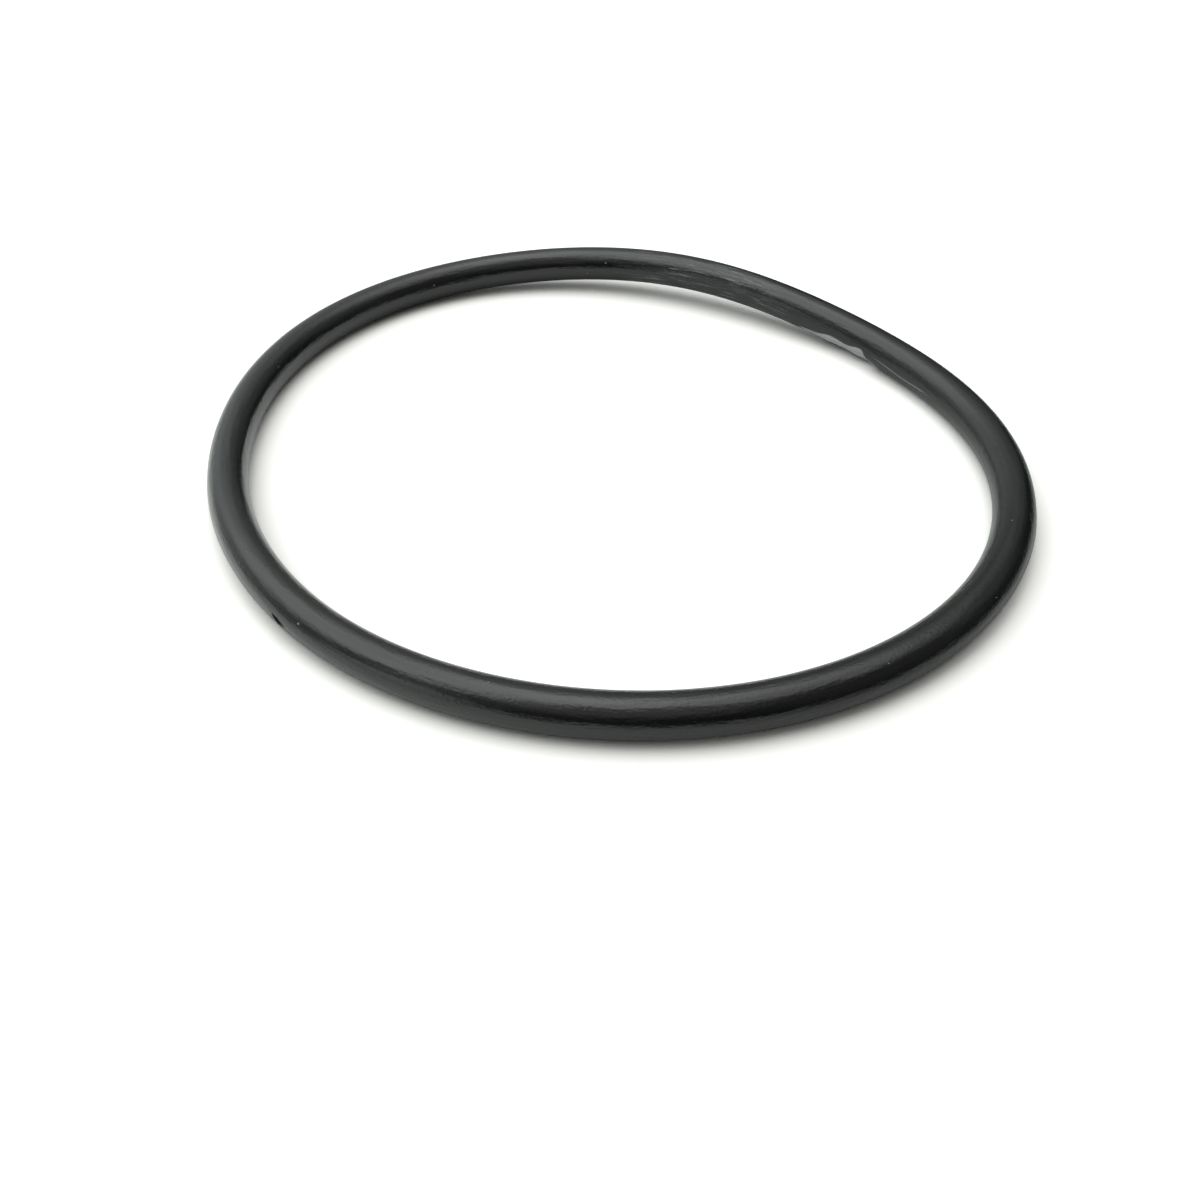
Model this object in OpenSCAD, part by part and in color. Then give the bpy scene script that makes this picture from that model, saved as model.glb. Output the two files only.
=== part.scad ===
// Rubber O-ring lying free on a flat surface.
// One round cord closes on itself. The moulded loop has been pulled a little out of round,
// one stretch of it arches clear of the surface and another only just leaves it. The cord has
// rolled a little at the front, and a knife has shaved it where the mould's flash was trimmed.
// Millimetres, +Z up, the surface at z = 0.

/* [Ring] */
// Diameter of the round cord
cord_d = 5.33; // [3:0.01:8]
// Inside diameter of the ring when it lies perfectly round
inside_d = 100.97; // [80:0.01:140]

/* [Out of round] */
// How far the loop is pulled out along its long axis and in across it
oval = 3.85; // [0:0.05:5]
// Direction of the long axis, seen from above
oval_dir = 127; // [0:1:180]
// How far the loop is drawn to an egg, with three ends a third of a turn apart
egg = 1; // [0:0.05:1.5]
// Direction of one end of the egg
egg_dir = -8; // [-60:1:60]
// How far the loop is squared, with four corners a quarter of a turn apart
square_off = 0.2; // [0:0.05:0.5]
// Direction of one corner
square_dir = 26; // [-45:1:45]

/* [Arched stretch] */
// Height of the gap under the middle of the arch
arch_h = 2; // [0:0.1:4]
// Direction of the middle of the arch
arch_dir = 71; // [40:1:110]
// Angle from the middle of the arch to where the cord touches down again
arch_reach = 73; // [50:1:85]

/* [Lifted stretch] */
// Height of the gap under the middle of the stretch that only just leaves the surface
lift_h = 0.3; // [0:0.05:1]
// Direction of the middle of this stretch
lift_dir = 205; // [180:1:230]
// Angle from its middle to where the cord touches down again
lift_reach = 40; // [20:1:60]

/* [Mould lines] */
// How far the trimmed flash stands off the cord, along its inner and outer edge
flash_h = 0.06; // [0:0.01:0.15]
// Width of the flash where it joins the cord
flash_w = 0.4; // [0.2:0.05:0.8]
// Angle that the cord has rolled by at most, which takes its outer mould line down
roll = 38; // [0:1:60]
// Direction where the cord has rolled most
roll_dir = 268; // [240:1:300]
// Angle from there to where the cord hasn't rolled
roll_reach = 60; // [30:1:90]

/* [Trimming scar] */
// Deepest bite of the knife into the cord
scar_depth = 0.52; // [0:0.01:0.6]
// Depth of the lighter cut that runs on past the step
scar_tail = 0.12; // [0:0.01:0.3]
// Direction that the cut faces round the cord: 0 outward, 90 up, 180 inward, 270 down
scar_facing = 220; // [190:1:260]
// Direction round the loop where the knife went in
scar_start = 48.5; // [41:0.5:60]
// Direction where the cut is deepest and ends in a step
scar_step = 31; // [28:1:38]
// Direction where the lighter cut runs out
scar_end = 23; // [12:1:26]
// Swing of the knife's depth as it ran, as a share of the depth
scar_waver = 0.28; // [0:0.01:0.3]
// Slant of the step, as the angle round the loop from the cord's middle to its top
scar_lean = 2.2; // [0:0.1:4]

/* [Hidden] */

cord_r = cord_d / 2;
// Radius of the centreline when the ring lies perfectly round
round_r = (inside_d + cord_d) / 2;

// Steps of the sweep: degrees round the loop, along the scar and elsewhere, and steps from
// one mould line to the other
scar_turn_step = 1;
turn_step = 3;
side_steps = 16;
// Angle round the loop that the face of the step takes up
step_face = 0.2;
// Half the angle between the two points that a heading is taken from
heading_reach = 0.05;
// Full swings of the knife's depth along the scar
scar_swings = 2.1;

// Half the angle that the flash takes up round the cord
flash_half = flash_w / 2 / cord_r * 180 / PI;

function total(list) = list * [for (item = list) 1];
function unit(v) = v / norm(v);

// Angle between two directions, from 0 to 180
function apart(a, b) = abs((a - b + 900) % 360 - 180);

// The loop from above, as a distance from the centre in direction a: a circle and its swings
function reach(a, base) = base
    + oval * cos(2 * (a - oval_dir))
    + egg * cos(3 * (a - egg_dir))
    + square_off * cos(4 * (a - square_dir));

// Rises from 0 to 1 in one direction and falls again, over the angle half to each side. It is
// flat at both ends, and longer so where the power is high.
function swell(a, dir, half, power) =
    let (off = apart(a, dir))
    off < half ? pow(cos(90 * off / half), power) : 0;

// Height of the gap under the cord
function gap(a) =
    arch_h * swell(a, arch_dir, arch_reach, 4) + lift_h * swell(a, lift_dir, lift_reach, 4);

// Angle that the cord has rolled by
function rolled(a) = -roll * swell(a, roll_dir, roll_reach, 2);

function centreline(a, base) =
    [reach(a, base) * cos(a), reach(a, base) * sin(a), cord_r + gap(a)];

// Pulling the loop about doesn't stretch it, so its centreline is as long as the round one's
function loop_length(base) =
    let (at = [for (a = [0:359]) centreline(a, base)])
    total([for (i = [0:359]) norm(at[(i + 1) % 360] - at[i])]);
base_r = round_r - (loop_length(round_r) / (2 * PI) - round_r);

// The middle of the loop's outer box goes to the origin
around = [for (a = [0:359]) centreline(a, base_r)];
middle = [
    (max([for (p = around) p.x]) + min([for (p = around) p.x])) / 2,
    (max([for (p = around) p.y]) + min([for (p = around) p.y])) / 2,
    0
];

function heading(a) =
    unit(centreline(a + heading_reach, base_r) - centreline(a - heading_reach, base_r));

// Flash at angle b round the cord, tapering from each mould line, at 0 and at 180, to nothing
function flash(b) =
    let (off = abs((b + 90) % 180 - 90))
    flash_h * max(0, 1 - off / flash_half);

// Depth of the knife in direction a: it sinks in, wavers, steps out, and skims on to the end
function bite(a) =
    a >= scar_start || a <= scar_end ? 0
    : a < scar_step ? scar_tail * (a - scar_end) / (scar_step - scar_end)
    : let (ran = (scar_start - a) / (scar_start - scar_step))
      scar_depth * pow(sin(90 * ran), 2)
          * (1 + scar_waver * cos(360 * scar_swings * (1 - ran)));

// Distance from the centreline to the skin at angle b, which was at angle moulded before the
// cord rolled. The knife leaves a flat across the round cord.
function skin(a, b, moulded) =
    let (depth = bite(a), facing = cos(b - scar_facing), whole = cord_r + flash(moulded))
    depth > 0 && facing > 0 ? min(whole, (cord_r - depth) / facing) : whole;

// Angles round the cord: each flash's foot, crest and foot, then even steps to the next flash
function side(line) = concat(
    [line - flash_half, line, line + flash_half],
    [for (i = [1:side_steps - 1]) line + flash_half + i * (180 - 2 * flash_half) / side_steps]
);
ROUND = concat(side(0), side(180));

// Directions round the loop, closer together along the scar, with two close ones at its step
TURNS = concat(
    [for (a = [scar_end:scar_turn_step:scar_step - scar_turn_step / 2]) a],
    [scar_step - step_face],
    [for (a = [scar_step:scar_turn_step:scar_start]) a],
    [for (a = [scar_start + turn_step:turn_step:scar_end + 360 - turn_step / 2]) a]
);

// A point at angle b and at this distance from the centreline, in direction a of the loop
function on_cord(a, b, distance) =
    let (ahead = heading(a),
         outward = unit(cross(ahead, [0, 0, 1])),
         upward = cross(outward, ahead))
    centreline(a, base_r) - middle + distance * (cos(b) * outward + sin(b) * upward);

// One row of skin points round the cord. Every row slants along the loop as the step does.
function row(a) =
    [for (moulded = ROUND)
        let (b = moulded + rolled(a))
        on_cord(a + scar_lean * sin(b), b, skin(a, b, moulded))];

module o_ring() {
    rows = len(TURNS);
    sides = len(ROUND);
    color("#232324")
        polyhedron(
            points = [for (a = TURNS) each row(a)],
            faces = [
                for (i = [0:rows - 1], j = [0:sides - 1])
                    let (here = i * sides,
                         next = (i + 1) % rows * sides,
                         up = (j + 1) % sides)
                    [here + j, here + up, next + up, next + j]
            ],
            convexity = 4
        );
}

o_ring();
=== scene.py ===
import math

import bmesh
import bpy
from mathutils import Matrix, Vector


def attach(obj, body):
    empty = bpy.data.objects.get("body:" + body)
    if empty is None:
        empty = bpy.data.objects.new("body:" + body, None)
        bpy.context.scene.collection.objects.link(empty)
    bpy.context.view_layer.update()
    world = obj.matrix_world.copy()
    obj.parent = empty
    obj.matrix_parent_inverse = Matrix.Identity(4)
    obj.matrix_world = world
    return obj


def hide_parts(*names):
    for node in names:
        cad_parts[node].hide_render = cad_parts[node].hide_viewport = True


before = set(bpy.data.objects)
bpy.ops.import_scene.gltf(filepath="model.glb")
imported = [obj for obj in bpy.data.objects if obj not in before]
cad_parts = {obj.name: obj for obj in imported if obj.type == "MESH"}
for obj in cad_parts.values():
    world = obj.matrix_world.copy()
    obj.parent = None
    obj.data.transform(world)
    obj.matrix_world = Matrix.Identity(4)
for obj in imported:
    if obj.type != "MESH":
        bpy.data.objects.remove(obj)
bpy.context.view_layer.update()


# The cord: black nitrile rubber, moulded in one go as a round section that closes on itself.
# Lying free it has gone out of round. Its back right arches off the surface, and its left
# front only just leaves it.
CORD_R = 0.00533 / 2
ROUND_R = (0.10097 + 0.00533) / 2
OVAL, OVAL_AT = 0.00385, 127
EGG, EGG_AT = 0.0010, -8
SQUARE, SQUARE_AT = 0.0002, 26
# Each stretch off the surface: its height, the direction of its middle, and half its angle
ARCHES = [(0.0020, 71, 73), (0.0003, 205, 40)]
# Half the angle between the two points that a heading is taken from
HEADING_REACH = 0.05


def apart(a, b):
    """The angle between two directions, from 0 to 180."""
    return abs((a - b + 900) % 360 - 180)


def cos_deg(angle):
    return math.cos(math.radians(angle))


def sin_deg(angle):
    return math.sin(math.radians(angle))


def centreline(a, base):
    """Middle of the cord in direction a, seen from above: an oval, a slight egg and four corners."""
    reach = base
    reach += OVAL * cos_deg(2 * (a - OVAL_AT))
    reach += EGG * cos_deg(3 * (a - EGG_AT))
    reach += SQUARE * cos_deg(4 * (a - SQUARE_AT))
    height = CORD_R
    for rise, middle, half in ARCHES:
        off = apart(a, middle)
        if off < half:
            height += rise * cos_deg(90 * off / half) ** 4
    return Vector((reach * cos_deg(a), reach * sin_deg(a), height))


def loop(base):
    return [centreline(a, base) for a in range(360)]


# Going out of round doesn't stretch the cord, so the loop stays as long as the round one
around = loop(ROUND_R)
length = sum((p - around[i - 1]).length for i, p in enumerate(around))
loop_r = 2 * ROUND_R - length / (2 * math.pi)
around = loop(loop_r)
loop_middle = Vector((
    (max(p.x for p in around) + min(p.x for p in around)) / 2,
    (max(p.y for p in around) + min(p.y for p in around)) / 2,
    0,
))


def on_cord(a, b, distance):
    """A point in direction a of the loop, and at angle b and this distance from the cord's middle."""
    ahead = (centreline(a + HEADING_REACH, loop_r) - centreline(a - HEADING_REACH, loop_r)).normalized()
    outward = ahead.cross(Vector((0, 0, 1))).normalized()
    upward = outward.cross(ahead)
    middle = centreline(a, loop_r) - loop_middle
    return middle + distance * (cos_deg(b) * outward + sin_deg(b) * upward)


# The mould's halves meet along the outer and the inner edge, where a trace of flash is left. At
# the front the cord has rolled, which takes the outer line down, and the flash there is painted
# paler as a highlight where its ridge catches the light. Past the scar the knife left a torn
# strip of flash, folded down, painted paler partly as torn rubber and partly as a highlight.
# Each AT is the direction of a stretch's middle, each REACH half its angle round the loop, and
# each HALF half the angle that a mark takes up round the cord.
FLASH_H, FLASH_HALF = 0.00006, 4.3
INNER_FLASH_H = 0.00002
# The flash at the front is painted paler by this share, a painted highlight on its ridge
FLASH_HIGHLIGHT, PALE_AT, PALE_REACH = 0.12, 266, 36
ROLL, ROLL_AT, ROLL_REACH = -38, 268, 60
STRIP_H, STRIP_HALF = 0.00009, 2.2
STRIP_AT, STRIP_REACH = 20.5, 8.5
STRIP_SAG = 10
# How steeply the strip gets its full height at its two ends
STRIP_RISE = 3


def hump(a, middle, half):
    """Rises smoothly from 0 to 1 in the middle of a stretch, and falls to 0 again."""
    return cos_deg(90 * min(1, apart(a, middle) / half)) ** 2


def flash(b):
    height = FLASH_H if abs(b) < 90 else INNER_FLASH_H
    return height * max(0, 1 - abs((b + 90) % 180 - 90) / FLASH_HALF)


def strip(a, b):
    """How much of the torn strip of flash is here, from 0 to 1."""
    stretch = hump(a, STRIP_AT, STRIP_REACH)
    folded = 180 + STRIP_SAG * stretch
    return max(0, 1 - apart(b, folded) / STRIP_HALF) * min(1, STRIP_RISE * stretch)


# A knife trimmed the flash at the back right and went into the cord: it sank in, wavered,
# stepped out at a slant and skimmed on. It left one matt grey flat across the round section,
# its grey partly the cut's own tone and partly a painted reflection of the white floor. The flat
# is torn along its upper edge and at the step, painted paler there partly as torn rubber and
# partly as a painted highlight, and a black lip is pushed up along the lower edge.
SCAR_START, SCAR_STEP, SCAR_END = 48.5, 31, 23
SCAR_DEPTH, SCAR_TAIL = 0.00052, 0.00012
SCAR_WAVER, SCAR_SWINGS = 0.28, 2.1
SCAR_FACING = 220
SCAR_LEAN = 2.2
# Past the step the grey runs on in a wedge. At the step its upper edge is this far above the
# middle of the cut, and it has come down to the middle over this angle of the loop.
WEDGE_HALF, WEDGE_REACH = 36, 0.9
# The lip stands a little inside the cut's lower edge, along one short stretch
LIP_H, LIP_HALF, LIP_INSET = 0.00014, 1.8, 1
LIP_AT, LIP_REACH = 41, 4
# The upper edge is torn, fully so where the cut is at least this deep
TORN_HALF, TORN_DEPTH = 2.2, 0.0001


def bite(a):
    """Depth of the knife in direction a."""
    if not SCAR_END < a < SCAR_START:
        return 0
    if a < SCAR_STEP:
        return SCAR_TAIL * (a - SCAR_END) / (SCAR_STEP - SCAR_END)
    ran = (SCAR_START - a) / (SCAR_START - SCAR_STEP)
    waver = 1 + SCAR_WAVER * cos_deg(360 * SCAR_SWINGS * (1 - ran))
    return SCAR_DEPTH * sin_deg(90 * ran) ** 2 * waver


def skin(a, b):
    """Distance from the cord's middle to its skin, how grey it is from the cut, partly a painted
    reflection, and how torn, partly a painted highlight.
    """
    left = strip(a, b)
    whole = CORD_R + flash(b) + STRIP_H * left
    # Painted highlight: the flash ridge at the front is painted paler
    pale = FLASH_HIGHLIGHT * hump(a, PALE_AT, PALE_REACH) * max(0, 1 - abs(b) / FLASH_HALF)
    torn = max(left, pale)
    depth = bite(a)
    if depth == 0:
        return whole, 0.0, torn
    off = (b - SCAR_FACING + 540) % 360 - 180
    half = math.degrees(math.acos((CORD_R - depth) / CORD_R))
    flat = (CORD_R - depth) / cos_deg(off) if abs(off) < half else whole
    # Where the cut is, its grey is partly its own tone and partly a painted reflection of the white
    # floor
    if a < SCAR_STEP:
        past_step = (SCAR_STEP - a) / WEDGE_REACH
        wedge = 1.0 if WEDGE_HALF * (past_step - 1) < off < half else 0.0
        return min(flat + STRIP_H * left, whole), wedge, torn
    lip = max(0, 1 - abs(off - half + LIP_INSET) / LIP_HALF) * hump(a, LIP_AT, LIP_REACH)
    grey = 1.0 if abs(off) < half and lip == 0 else 0.0
    # The torn upper edge and the step are painted pale, partly torn rubber and partly a painted
    # highlight
    torn = max(0, 1 - abs(off + half) / TORN_HALF) * min(1, depth / TORN_DEPTH)
    if a == SCAR_STEP and abs(off) < half:
        torn = 1.0
    return flat + LIP_H * lip, grey, torn


# A circle spun round makes the perfect ring. Each point keeps its place round the cord, the
# ring gets finer, finest by the scar, and every point moves to where the cord lies.
SIDES = 80
SPIN_STEPS = 90
CUTS_ALONG, CUTS_ALONG_SCAR, CUTS_ROUND_SCAR = 7, 15, 3
# By the scar the ring is finer along the loop, and on the scar's side also round the cord
BY_SCAR_FROM, BY_SCAR_TO = 12, 52
ROUND_SCAR_TO = 50
SCAR_SIDE_FROM, SCAR_SIDE_TO = 150, 270
# Two points less than this apart round the loop belong to the same circle round the cord
SAME_CIRCLE = 0.1

mesh = bmesh.new()
section_layer = mesh.verts.layers.float_vector.new("round_the_cord")
cut_layer = mesh.verts.layers.float.new("knife_cut")
torn_and_highlight_layer = mesh.verts.layers.float.new("torn")
section = bmesh.ops.create_circle(mesh, segments=SIDES, radius=CORD_R)["verts"]
for vert in section:
    vert[section_layer] = vert.co.normalized()
bmesh.ops.rotate(mesh, verts=section, cent=(0, 0, 0), matrix=Matrix.Rotation(math.pi / 2, 3, "X"))
bmesh.ops.translate(mesh, verts=section, vec=(ROUND_R, 0, 0))
bmesh.ops.spin(
    mesh, geom=mesh.verts[:] + mesh.edges[:], cent=(0, 0, 0), axis=(0, 0, 1),
    angle=2 * math.pi, steps=SPIN_STEPS, use_merge=True,
)


def loop_angle(vert):
    return math.degrees(math.atan2(vert.co.y, vert.co.x)) % 360


def cord_angle(vert):
    return math.degrees(math.atan2(vert[section_layer].y, vert[section_layer].x)) % 360


along, along_scar = [], []
for edge in mesh.edges:
    start, end = sorted(loop_angle(v) for v in edge.verts)
    if end - start > SAME_CIRCLE:
        by_scar = BY_SCAR_FROM <= start and end <= BY_SCAR_TO
        (along_scar if by_scar else along).append(edge)
bmesh.ops.subdivide_edges(mesh, edges=along, cuts=CUTS_ALONG)
bmesh.ops.subdivide_edges(mesh, edges=along_scar, cuts=CUTS_ALONG_SCAR)

round_scar = []
for edge in mesh.edges:
    start, end = sorted(loop_angle(v) for v in edge.verts)
    low, high = sorted(cord_angle(v) for v in edge.verts)
    by_scar = BY_SCAR_FROM <= start and end <= ROUND_SCAR_TO
    on_scar_side = SCAR_SIDE_FROM < low and high < SCAR_SIDE_TO
    if by_scar and on_scar_side and end - start < SAME_CIRCLE:
        round_scar.append(edge)
bmesh.ops.subdivide_edges(mesh, edges=round_scar, cuts=CUTS_ROUND_SCAR)

# The direction is rounded, so that the circle at the step is found there
for vert in mesh.verts:
    a = round(loop_angle(vert), 3)
    b = cord_angle(vert)
    b_now = b + ROLL * hump(a, ROLL_AT, ROLL_REACH)
    distance, vert[cut_layer], vert[torn_and_highlight_layer] = skin(a, (b + 180) % 360 - 180)
    vert.co = on_cord(a + SCAR_LEAN * sin_deg(b_now), b_now, distance)


def smoothed(shape):
    """Turns a closed shape's faces outward and shades them smooth."""
    bmesh.ops.recalc_face_normals(shape, faces=shape.faces)
    for face in shape.faces:
        face.smooth = True


def as_object(name, shape, material):
    """Makes an object at the origin out of a finished shape."""
    data = bpy.data.meshes.new(name)
    shape.to_mesh(data)
    shape.free()
    data.materials.append(material)
    made = bpy.data.objects.new(name, data)
    bpy.context.scene.collection.objects.link(made)
    return made


smoothed(mesh)
rubber = bpy.data.materials.new("satin_black_rubber")
ring = as_object("o_ring_skin", mesh, rubber)

# The rubber: satin black and a little cloudy, with a fine grain, dimples and flow marks that
# are drawn out along the cord. The cut is a streaky grey, partly its own tone and partly a
# painted reflection of the white floor. Its torn edges and the flash ridges are paler, partly
# torn rubber and partly a painted highlight.
BLACK, CLOUDY_BLACK = (0.0045, 0.0048, 0.0045, 1), (0.0085, 0.0088, 0.0083, 1)
SCUFF_GREY = (0.15, 0.15, 0.155, 1)
# The cut's greys are partly its own tone and partly a painted reflection of the white floor
CUT_GREY_AND_REFLECTION, CUT_STREAK_AND_REFLECTION = (0.33, 0.32, 0.335, 1), (0.58, 0.565, 0.585, 1)
# Pale of torn rubber, and partly a painted highlight on torn edges and flash ridges
TORN_GREY_AND_HIGHLIGHT = (0.36, 0.36, 0.355, 1)
SATIN_ROUGH, CLOUDY_ROUGH = 0.13, 0.21
SCUFF_ROUGH, CUT_ROUGH, TORN_ROUGH = 0.34, 0.4, 0.5
CLOUD_FROM, CLOUD_TO = 0.3, 0.7
STREAK_FROM, STREAK_TO = 0.35, 0.6
RUBBER_IOR = 1.55
GRAIN_DEPTH, DIMPLE_DEPTH, FLOW_DEPTH, SCUFF_DEPTH = 0.00004, 0.00002, 0.00007, 0.00002


def nodes_of(material):
    """The material's node tree, emptied."""
    material.use_nodes = True
    emptied = material.node_tree
    emptied.nodes.clear()
    return emptied


def add(tree, kind, inputs=None, **settings):
    """Adds a node, sets it up, and fills or links its inputs."""
    node = tree.nodes.new(kind)
    for name, value in settings.items():
        setattr(node, name, value)
    for name, value in (inputs or {}).items():
        if isinstance(value, bpy.types.NodeSocket):
            tree.links.new(value, node.inputs[name])
        else:
            node.inputs[name].default_value = value
    return node


tree = nodes_of(rubber)
place = add(tree, "ShaderNodeTexCoord").outputs["Object"]
round_cord = add(tree, "ShaderNodeAttribute", attribute_name="round_the_cord").outputs["Vector"]
round_parts = add(tree, "ShaderNodeSeparateXYZ", {"Vector": round_cord})
out_part, up_part = round_parts.outputs["X"], round_parts.outputs["Y"]


def multiplied(value, other):
    return add(tree, "ShaderNodeMath", {0: value, 1: other}, operation="MULTIPLY").outputs["Value"]


def ranged(value, low, high, to_low, to_high):
    return add(tree, "ShaderNodeMapRange", {
        "Value": value, "From Min": low, "From Max": high, "To Min": to_low, "To Max": to_high,
    }).outputs["Result"]


def mixed(factor, first, second, kind="FLOAT"):
    return add(tree, "ShaderNodeMix", {
        "Factor": factor, "A": first, "B": second,
    }, data_type=kind).outputs["Result"]


def noise(per_metre, detail):
    return add(tree, "ShaderNodeTexNoise", {
        "Vector": place, "Scale": per_metre, "Detail": detail,
    }).outputs["Fac"]


def drawn_out(per_metre, per_radian, detail):
    """A pattern drawn out along the cord and closed round it."""
    fine = (per_metre, per_metre, 0)
    flat = add(tree, "ShaderNodeVectorMath", {0: place, 1: fine}, operation="MULTIPLY")
    lift = add(tree, "ShaderNodeCombineXYZ", {"Z": multiplied(out_part, per_radian)})
    where = add(tree, "ShaderNodeVectorMath", {0: flat.outputs["Vector"], 1: lift.outputs["Vector"]})
    return add(tree, "ShaderNodeTexNoise", {
        "Vector": where.outputs["Vector"], "W": multiplied(up_part, per_radian),
        "Scale": 1, "Detail": detail,
    }, noise_dimensions="4D").outputs["Fac"]


flow = drawn_out(per_metre=200, per_radian=4.5, detail=3)
scuffs = drawn_out(per_metre=260, per_radian=13, detail=3)
streaks = drawn_out(per_metre=120, per_radian=22, detail=3)
grain = noise(per_metre=3200, detail=3)
dimples = noise(per_metre=1250, detail=2)
cloud = noise(per_metre=160, detail=4)
knife = add(tree, "ShaderNodeAttribute", attribute_name="knife_cut").outputs["Fac"]
# Where the rubber is torn, and where a painted highlight lies on torn edges and flash ridges
torn = add(tree, "ShaderNodeAttribute", attribute_name="torn").outputs["Fac"]

# Beside the scar the skin is scuffed along the cord. The scuffs are strong near the middle of
# their stretch and run out at its ends. They fade out towards the cord's outer side, between
# these two shares of its radius.
SCUFFED_AT, SCUFFED_STRONG, SCUFFED_REACH = 68, 9, 21
SCUFFED_NONE, SCUFFED_FULL = 0.6, -0.1
SCUFF_FROM, SCUFF_TO = 0.54, 0.68

toward = (cos_deg(SCUFFED_AT), sin_deg(SCUFFED_AT), 0)
heading = add(tree, "ShaderNodeVectorMath", {0: place}, operation="NORMALIZE").outputs["Vector"]
facing = add(tree, "ShaderNodeVectorMath", {0: heading, 1: toward}, operation="DOT_PRODUCT")
scuffed = ranged(facing.outputs["Value"], cos_deg(SCUFFED_REACH), cos_deg(SCUFFED_STRONG), 0, 1)
scuffed = multiplied(scuffed, ranged(out_part, SCUFFED_NONE, SCUFFED_FULL, 0, 1))
scuff = multiplied(ranged(scuffs, SCUFF_FROM, SCUFF_TO, 0, 1), scuffed)

rough = ranged(cloud, CLOUD_FROM, CLOUD_TO, SATIN_ROUGH, CLOUDY_ROUGH)
rough = mixed(scuff, rough, SCUFF_ROUGH)
rough = mixed(knife, rough, CUT_ROUGH)
rough = mixed(torn, rough, TORN_ROUGH)
colour = mixed(cloud, BLACK, CLOUDY_BLACK, "RGBA")
colour = mixed(scuff, colour, SCUFF_GREY, "RGBA")
# Painted reflection: the cut's streaky grey stands partly for the white floor mirrored in it
streaky_grey_and_reflection = mixed(ranged(streaks, STREAK_FROM, STREAK_TO, 0, 1), CUT_GREY_AND_REFLECTION, CUT_STREAK_AND_REFLECTION, "RGBA")
colour = mixed(knife, colour, streaky_grey_and_reflection, "RGBA")
# Torn edges and flash ridges painted paler: partly torn rubber, partly a painted highlight
colour = mixed(torn, colour, TORN_GREY_AND_HIGHLIGHT, "RGBA")
relief = {"Strength": 1}
for pattern, depth in [
    (grain, GRAIN_DEPTH), (dimples, DIMPLE_DEPTH), (flow, FLOW_DEPTH), (scuff, SCUFF_DEPTH),
]:
    relief.update({"Height": pattern, "Distance": depth})
    relief["Normal"] = add(tree, "ShaderNodeBump", relief).outputs["Normal"]
surface = add(tree, "ShaderNodeBsdfPrincipled", {
    "Base Color": colour, "Roughness": rough, "IOR": RUBBER_IOR, "Normal": relief["Normal"],
})
add(tree, "ShaderNodeOutputMaterial", {"Surface": surface.outputs["BSDF"]})

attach(ring, "root")
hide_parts("o_ring")


# The sliver: a thin whisker of the same rubber, torn up beside the outer mould line at the left
# front. It is still joined at its upper end, lies on the skin, and its free tip just lifts off.
SLIVER_SIDES = 8
SLIVER_BLACK = (0.004, 0.004, 0.004, 1)
SLIVER_ROUGH, SLIVER_IOR = 0.7, 1.3
# Each point of its middle: the direction, the angle round the cord, the height over the skin,
# and the sliver's radius there
SLIVER_PATH = [
    (223.0, 10.5, 0.00001, 0.00003),
    (223.4, 8.5, 0.00005, 0.00007),
    (223.8, 6.0, 0.00008, 0.00010),
    (224.2, 3.5, 0.00009, 0.00010),
    (224.7, 0.5, 0.00009, 0.00009),
    (225.2, -2.0, 0.00009, 0.00006),
    (225.7, -4.0, 0.00012, 0.00002),
]
# Half the angle between the two points that the way along the skin is taken from
ALONG_REACH = 0.1


def along_skin(a, b):
    """The way along the skin at this place on the cord."""
    return (on_cord(a + ALONG_REACH, b, CORD_R) - on_cord(a - ALONG_REACH, b, CORD_R)).normalized()


mesh = bmesh.new()
circles = []
for a, b, off, radius in SLIVER_PATH:
    middle = on_cord(a, b, CORD_R + off)
    inward = (on_cord(a, b, 0) - middle).normalized()
    level = along_skin(a, b)
    turned = Matrix((inward, level, inward.cross(level))).transposed().to_4x4()
    bmesh.ops.create_circle(
        mesh, segments=SLIVER_SIDES, radius=radius, matrix=Matrix.Translation(middle) @ turned,
    )
    mesh.edges.ensure_lookup_table()
    circles.append(mesh.edges[-SLIVER_SIDES:])
for upper, lower in zip(circles, circles[1:]):
    bmesh.ops.bridge_loops(mesh, edges=upper + lower)
bmesh.ops.holes_fill(mesh, edges=mesh.edges, sides=SLIVER_SIDES)
smoothed(mesh)

whisker = bpy.data.materials.new("sliver_rubber")
tree = nodes_of(whisker)
surface = add(tree, "ShaderNodeBsdfPrincipled", {
    "Base Color": SLIVER_BLACK, "Roughness": SLIVER_ROUGH, "IOR": SLIVER_IOR,
})
add(tree, "ShaderNodeOutputMaterial", {"Surface": surface.outputs["BSDF"]})
sliver = as_object("sliver", mesh, whisker)
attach(sliver, "root")


# The dust: a few pale flakes of lint and talc that cling to the rubber. They lie flat on the
# skin, most of them along the left side and at the front.
DUST_WHITE = (0.26, 0.26, 0.25, 1)
# Each flake: the direction, the angle round the cord, and half its length
FLAKES = [
    (228.5, 37.5, 0.00017), (87.5, 153.5, 0.00015), (334, 98.5, 0.00011), (301.5, 57, 0.00009),
    (119, 160, 0.00011), (157, 140, 0.00010), (214, 42, 0.00009), (91, 193.5, 0.00010),
    (256, 86, 0.00010), (212, 72.5, 0.00008), (153, 97, 0.00009), (128, 97, 0.00009),
    (137, 99, 0.00008), (146, 96, 0.00009), (241, 112, 0.00008), (319.5, 40.5, 0.00008),
]
# A flake's width and thickness as shares of its length, and how far and how often its rim goes
# in and out
FLAKE_WIDTH, FLAKE_THICKNESS = 0.6, 0.35
RIM_SWING, WAVES_ALONG, WAVES_ACROSS = 0.3, 5, 4

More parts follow.
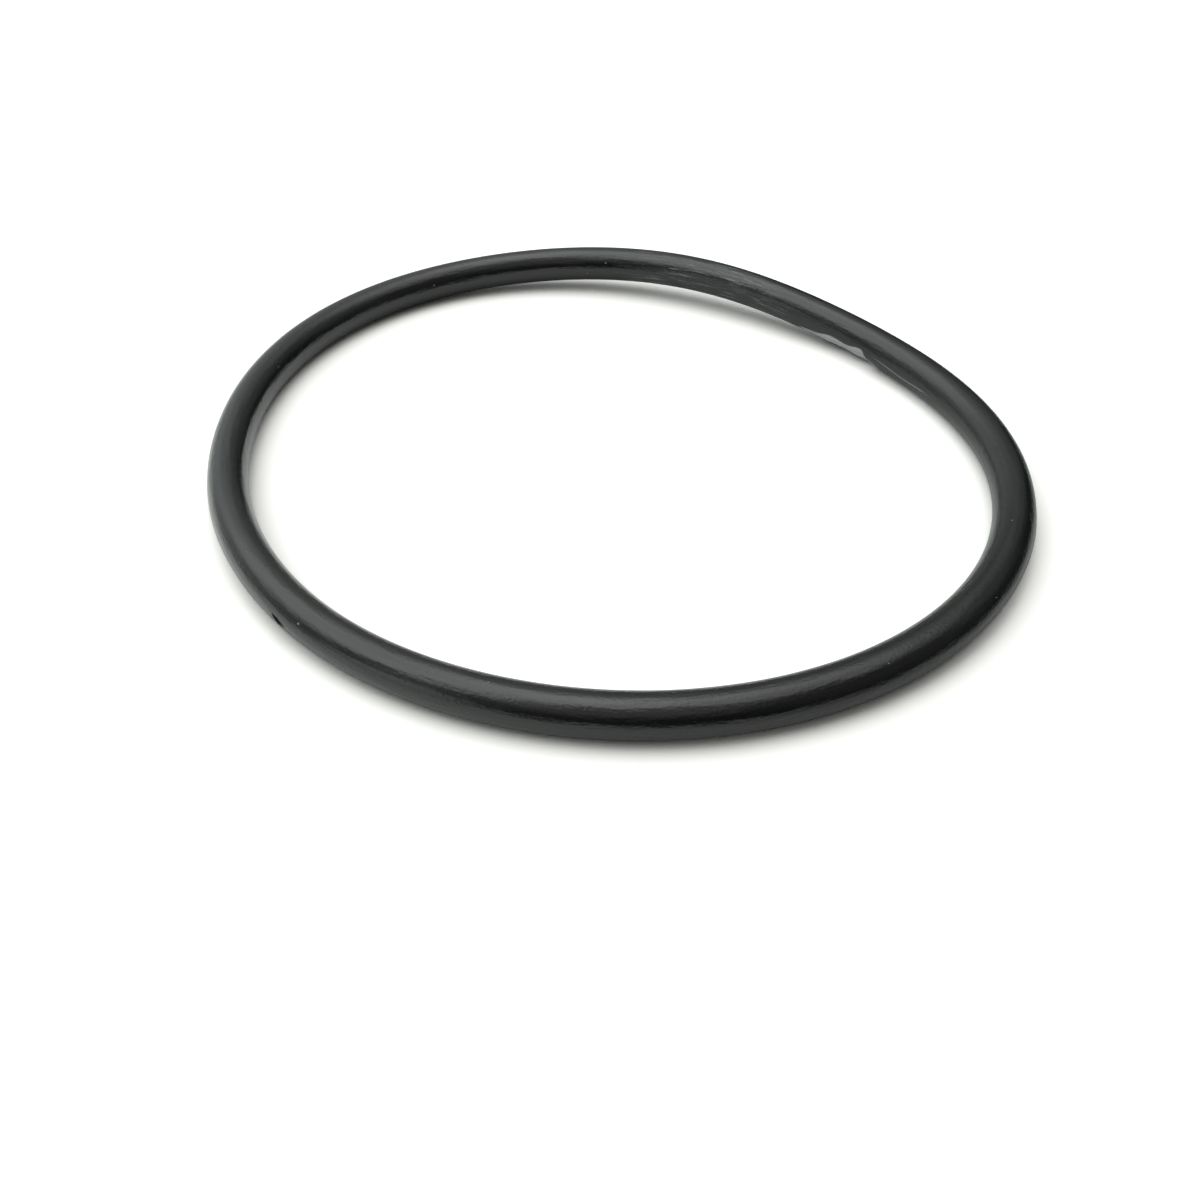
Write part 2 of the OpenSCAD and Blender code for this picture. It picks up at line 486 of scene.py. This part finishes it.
mesh = bmesh.new()
for a, b, size in FLAKES:
    flake = bmesh.ops.create_icosphere(mesh, subdivisions=2, radius=1)["verts"]
    centre = on_cord(a, b, CORD_R)
    away = (centre - on_cord(a, b, 0)).normalized()
    ahead = along_skin(a, b)
    beside = away.cross(ahead)
    for vert in flake:
        x, y, z = vert.co
        ragged = 1 + RIM_SWING * math.sin(WAVES_ALONG * x + a) * math.cos(WAVES_ACROSS * y + b)
        spread = ragged * x * ahead + FLAKE_WIDTH * ragged * y * beside
        vert.co = centre + size * (spread + FLAKE_THICKNESS * z * away)
bmesh.ops.recalc_face_normals(mesh, faces=mesh.faces)

lint = bpy.data.materials.new("pale_dust")
tree = nodes_of(lint)
surface = add(tree, "ShaderNodeBsdfDiffuse", {"Color": DUST_WHITE})
add(tree, "ShaderNodeOutputMaterial", {"Surface": surface.outputs["BSDF"]})
dust = as_object("dust", mesh, lint)
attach(dust, "root")


# The floor: a matt white sheet. To the camera it is bright and has no end. The rubber mirrors
# it with painted light in its colour: brighter at the left and dimmer to the right, as if lit
# more from the left. Beyond the ring its colour darkens to nearly black, soonest at the right,
# and stays bright on to the left.
FLOOR_HALF = 3
SHEET_WHITE = (0.90, 0.90, 0.89)
SEEN_WHITE = (1.27, 1.23, 1.21, 1)
# The middle of its bright part lies a little to the left of the ring's. It is fully bright to
# the first distance from there, and beyond the second it is nearly black.
SHEET_SHIFT = 0.012
SHEET_FULL, SHEET_END, SHEET_LEFT = 0.062, 0.100, 0.04
# It stays this bright left of the first place, and not right of the second
GOES_ON_AT, ENDS_AT, GOES_ON_WHITE = -0.07, -0.02, 0.7
# Painted light: brightness of its left and its right side, as if lit more from the left, at this
# distance from the middle and beyond
SIDE_AT, LEFT_PAINTED_LIGHT, RIGHT_PAINTED_LIGHT = 0.05, 1.2, 0.78

mesh = bmesh.new()
bmesh.ops.create_grid(mesh, x_segments=1, y_segments=1, size=FLOOR_HALF)
paper = bpy.data.materials.new("white_floor")
tree = nodes_of(paper)
place = add(tree, "ShaderNodeTexCoord").outputs["Object"]
from_middle = add(tree, "ShaderNodeVectorMath", {0: place, 1: (SHEET_SHIFT, 0, 0)}, operation="ADD")
far = add(tree, "ShaderNodeVectorMath", {0: from_middle.outputs["Vector"]}, operation="LENGTH")
sheet = add(tree, "ShaderNodeMapRange", {
    "Value": far.outputs["Value"], "From Min": SHEET_FULL, "From Max": SHEET_END,
    "To Min": 1, "To Max": SHEET_LEFT,
}, interpolation_type="SMOOTHSTEP").outputs["Result"]
to_right = add(tree, "ShaderNodeSeparateXYZ", {"Vector": place}).outputs["X"]
goes_on = ranged(to_right, GOES_ON_AT, ENDS_AT, GOES_ON_WHITE, 0)
sheet = add(tree, "ShaderNodeMath", {0: sheet, 1: goes_on}, operation="MAXIMUM").outputs["Value"]
# Painted light: the mirrored colour is brighter to the left and dimmer to the right
sheet = multiplied(sheet, ranged(to_right, -SIDE_AT, SIDE_AT, LEFT_PAINTED_LIGHT, RIGHT_PAINTED_LIGHT))
sheet_white_with_painted_light = add(tree, "ShaderNodeVectorMath", {0: SHEET_WHITE, "Scale": sheet}, operation="SCALE")
mirrored = add(tree, "ShaderNodeBsdfDiffuse", {"Color": sheet_white_with_painted_light.outputs["Vector"]})
seen = add(tree, "ShaderNodeBsdfDiffuse", {"Color": SEEN_WHITE})


def camera_sees(shown, otherwise):
    """The first shader where the camera looks straight at it, and otherwise the second."""
    camera_ray = add(tree, "ShaderNodeLightPath").outputs["Is Camera Ray"]
    both = add(tree, "ShaderNodeMixShader", {"Fac": camera_ray, 1: otherwise, 2: shown})
    return both.outputs["Shader"]


add(tree, "ShaderNodeOutputMaterial", {
    "Surface": camera_sees(seen.outputs["BSDF"], mirrored.outputs["BSDF"]),
})
floor = as_object("floor", mesh, paper)


# The light: soft lamps and pale walls all round, each bright in the middle and fading out. The
# brightest are overhead and at the left, high up and low down. The right and the camera's side
# stay dim.
ROOM = (0.02, 0.03, 0.03)
# Each lamp: its direction, clockwise from straight behind the ring, its height, the angles where
# it starts and ends its fade, and its colour
SOFT_LIGHTS = [
    ("high at the left", 295, 60, 5, 42, (1.62, 1.67, 1.65)),
    ("overhead", 55, 76, 5, 35, (1.30, 1.35, 1.31)),
    ("high behind", 0, 54, 5, 33, (0.70, 0.73, 0.72)),
    ("high behind at the right", 60, 46, 5, 32, (0.20, 0.20, 0.22)),
    ("low behind at the right", 28, 24, 4, 20, (0.20, 0.20, 0.21)),
    ("further left", 262, 50, 5, 32, (0.60, 0.68, 0.65)),
    ("high in front", 205, 62, 10, 46, (0.44, 0.44, 0.42)),
    ("left wall", 300, 8, 10, 45, (0.55, 0.57, 0.55)),
    ("back wall", 350, 11, 4, 26, (0.36, 0.36, 0.34)),
    ("corner of the walls", 325, 30, 5, 30, (0.33, 0.37, 0.38)),
    ("window low at the left", 240, 4, 3, 26, (1.20, 1.26, 1.23)),
    ("high at the right", 110, 45, 20, 55, (0.12, 0.12, 0.11)),
]

world = bpy.data.worlds.new("studio")
bpy.context.scene.world = world
tree = nodes_of(world)
direction = add(tree, "ShaderNodeTexCoord").outputs["Generated"]
total = ROOM
for name, compass, height, full, gone, colour in SOFT_LIGHTS:
    out = cos_deg(height)
    centre = (sin_deg(compass) * out, cos_deg(compass) * out, sin_deg(height))
    near = add(tree, "ShaderNodeVectorMath", {0: direction, 1: centre}, operation="DOT_PRODUCT")
    glow = add(tree, "ShaderNodeMapRange", {
        "Value": near.outputs["Value"], "From Min": cos_deg(gone), "From Max": cos_deg(full),
    }, interpolation_type="SMOOTHSTEP").outputs["Result"]
    lamp = add(tree, "ShaderNodeVectorMath", {0: colour, "Scale": glow}, operation="SCALE")
    lamp.label = name
    total = add(tree, "ShaderNodeVectorMath", {0: total, 1: lamp.outputs["Vector"]}).outputs["Vector"]
light = add(tree, "ShaderNodeBackground", {"Color": total})
white = add(tree, "ShaderNodeBackground", {"Color": (1, 1, 1, 1)})
add(tree, "ShaderNodeOutputWorld", {
    "Surface": camera_sees(white.outputs["Background"], light.outputs["Background"]),
})
bpy.context.scene.view_settings.view_transform = "Standard"


# The camera: close in front of the ring and above it, looking down on it. Its focal length is
# in pixels of the photograph, its place in metres and its pitch and roll in degrees.
PHOTO_SIDE = 1200
FOCAL_PIXELS = 1292.98
SENSOR = 36
CAMERA_AT = (-0.001690, -0.151905, 0.097620)
CAMERA_PITCH, CAMERA_ROLL = 39.074, -1.4665

camera_data = bpy.data.cameras.new("camera")
camera = bpy.data.objects.new("camera", camera_data)
bpy.context.scene.collection.objects.link(camera)
bpy.context.scene.camera = camera
camera_data.clip_start = 0.01
camera_data.sensor_width = SENSOR
camera_data.sensor_fit = "HORIZONTAL"
camera_data.lens = SENSOR * FOCAL_PIXELS / PHOTO_SIDE
look = Vector((0, cos_deg(CAMERA_PITCH), -sin_deg(CAMERA_PITCH)))
level = Vector((1, 0, 0))
upright = Vector((0, sin_deg(CAMERA_PITCH), cos_deg(CAMERA_PITCH)))
right = cos_deg(CAMERA_ROLL) * level + sin_deg(CAMERA_ROLL) * upright
up = cos_deg(CAMERA_ROLL) * upright - sin_deg(CAMERA_ROLL) * level
turned = Matrix((right, up, -look)).transposed().to_4x4()
camera.matrix_world = Matrix.Translation(CAMERA_AT) @ turned
